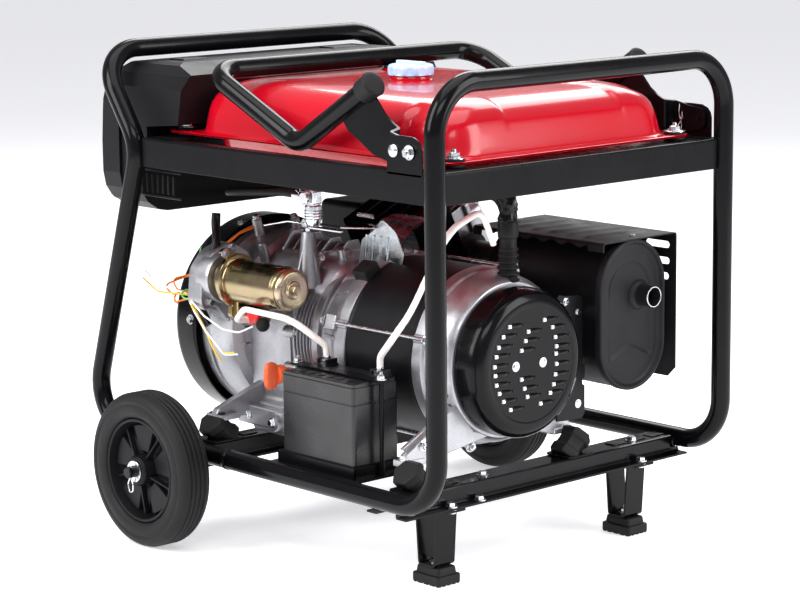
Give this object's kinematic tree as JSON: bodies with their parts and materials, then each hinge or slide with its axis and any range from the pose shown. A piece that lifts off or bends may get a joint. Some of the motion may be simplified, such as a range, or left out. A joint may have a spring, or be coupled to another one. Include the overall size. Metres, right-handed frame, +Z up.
{
  "type": "portable generator",
  "caption": "Open-frame portable generator: bent-tube frame on two wheels and two legs, with engine, alternator, muffler, fuel tank, battery, control panel and a fold-out handle.",
  "frame": {"origin": "on the ground, under the middle of the object's bounding box", "axes": "+X towards the alternator and muffler end, the legs' end; +Y towards the muffler side; +Z up"},
  "size_m": [0.703, 0.694, 0.633],
  "materials": {
    "black_paint": "gloss",
    "red_paint": "gloss",
    "rocker_plastic": "satin",
    "matte_black": "satin",
    "black_plastic": "satin",
    "orange_plastic": "satin",
    "cap_plastic": "gloss",
    "rubber": "matte",
    "tyre_rubber": "matte",
    "cast_aluminium": "satin",
    "zinc": "satin",
    "gold_zinc": "satin",
    "white_sleeve": "matte"
  },
  "bodies": {
    "generator": {"front_hoop": "black_paint", "rear_hoop": "black_paint", "near_rail": "black_paint", "far_rail": "black_paint", "front_rail": "black_paint", "rear_rail": "black_paint", "front_crossmember": "black_paint", "rear_crossmember": "black_paint", "leg_near": "black_paint", "leg_far": "black_paint", "blower_housing": "black_paint", "alternator_cover": "black_paint", "battery_tray": "black_paint", "tank_upper": "red_paint", "tank_lower": "red_paint", "cylinder_shroud": "matte_black", "stator": "matte_black", "muffler": "matte_black", "heat_shield": "matte_black", "fuel_gauge": "black_plastic", "control_housing": "black_plastic", "control_face": "black_plastic", "outlet_block": "black_plastic", "voltmeter": "black_plastic", "air_cleaner": "black_plastic", "battery": "black_plastic", "foot_near": "rubber", "foot_far": "rubber", "fuel_hose": "rubber", "output_sleeve": "rubber", "wiring_harness": "rubber", "mount_front_near": "rubber", "mount_front_far": "rubber", "mount_rear_near": "rubber", "mount_rear_far": "rubber", "crankcase": "cast_aluminium", "cylinder_head": "cast_aluminium", "carburettor": "cast_aluminium", "alternator_rear_bell": "cast_aluminium", "alternator_front_bell": "cast_aluminium", "fuel_valve": "zinc", "starter_motor": "gold_zinc", "lead_positive": "white_sleeve", "lead_negative": "white_sleeve"},
    "wheel_near": {"tyre_near": "tyre_rubber", "hub_near": "black_plastic"},
    "wheel_far": {"tyre_far": "tyre_rubber", "hub_far": "black_plastic"},
    "handle": {"carry_handle": "black_paint"},
    "pin_near": {"lock_pin_near": "zinc"},
    "pin_far": {"lock_pin_far": "zinc"},
    "cap": {"fuel_cap": "cap_plastic"},
    "valve_lever": {"fuel_valve_lever": "zinc"},
    "choke": {"choke_lever": "zinc"},
    "governor": {"governor_arm": "zinc"},
    "oil_stick": {"dipstick": "orange_plastic"},
    "starter_grip": {"recoil_grip": "rubber"},
    "crank": {"crank_and_rotor": "cast_aluminium"},
    "breaker": {"breaker_rocker": "rocker_plastic"},
    "key": {"ignition_key": "black_plastic"}
  },
  "joints": [
    {"name": "wheel_near_spin", "type": "hinge", "parent": "generator", "child": "wheel_near", "pos_m": [-0.134, -0.309, 0.1], "axis": [0, 1, 0], "continuous": true},
    {"name": "wheel_far_spin", "type": "hinge", "parent": "generator", "child": "wheel_far", "pos_m": [-0.134, 0.309, 0.1], "axis": [0, 1, 0], "continuous": true},
    {"name": "handle_fold", "type": "hinge", "parent": "generator", "child": "handle", "pos_m": [0.299, 0, 0.536], "axis": [0, 1, 0], "range_deg": [0, 48]},
    {"name": "lock_pin_near_pull", "type": "slide", "parent": "generator", "child": "pin_near", "axis": [0, -1, 0], "range_m": [0, 0.025]},
    {"name": "lock_pin_far_pull", "type": "slide", "parent": "generator", "child": "pin_far", "axis": [0, 1, 0], "range_m": [0, 0.025]},
    {"name": "fuel_cap_turn", "type": "hinge", "parent": "generator", "child": "cap", "pos_m": [0.04, -0.01, 0.6], "axis": [0, 0, 1], "range_deg": [0, 90]},
    {"name": "fuel_valve_turn", "type": "hinge", "parent": "generator", "child": "valve_lever", "pos_m": [0.008, -0.164, 0.447], "axis": [0, 1, 0], "range_deg": [0, 90]},
    {"name": "choke_swing", "type": "hinge", "parent": "generator", "child": "choke", "pos_m": [-0.172, 0.134, 0.3419], "axis": [0, 1, 0], "range_deg": [0, 50]},
    {"name": "governor_swing", "type": "hinge", "parent": "generator", "child": "governor", "pos_m": [-0.055, -0.105, 0.396], "axis": [0, 0, 1], "range_deg": [-10, 10], "stiffness_Nm_per_rad": 0.3},
    {"name": "dipstick_pull", "type": "slide", "parent": "generator", "child": "oil_stick", "axis": [0, -1, 0], "range_m": [0, 0.06]},
    {"name": "recoil_pull", "type": "slide", "parent": "generator", "child": "starter_grip", "axis": [0, -0.7071, 0.7071], "range_m": [0, 0.06]},
    {"name": "crank_spin", "type": "hinge", "parent": "generator", "child": "crank", "pos_m": [0, -0.033, 0.254], "axis": [1, 0, 0], "continuous": true},
    {"name": "breaker_rock", "type": "hinge", "parent": "generator", "child": "breaker", "pos_m": [-0.318, 0.04, 0.535], "axis": [0, 1, 0], "range_deg": [0, 12]},
    {"name": "ignition_turn", "type": "hinge", "parent": "generator", "child": "key", "pos_m": [-0.32, -0.03, 0.535], "axis": [1, 0, 0], "range_deg": [0, 60]}
  ]
}
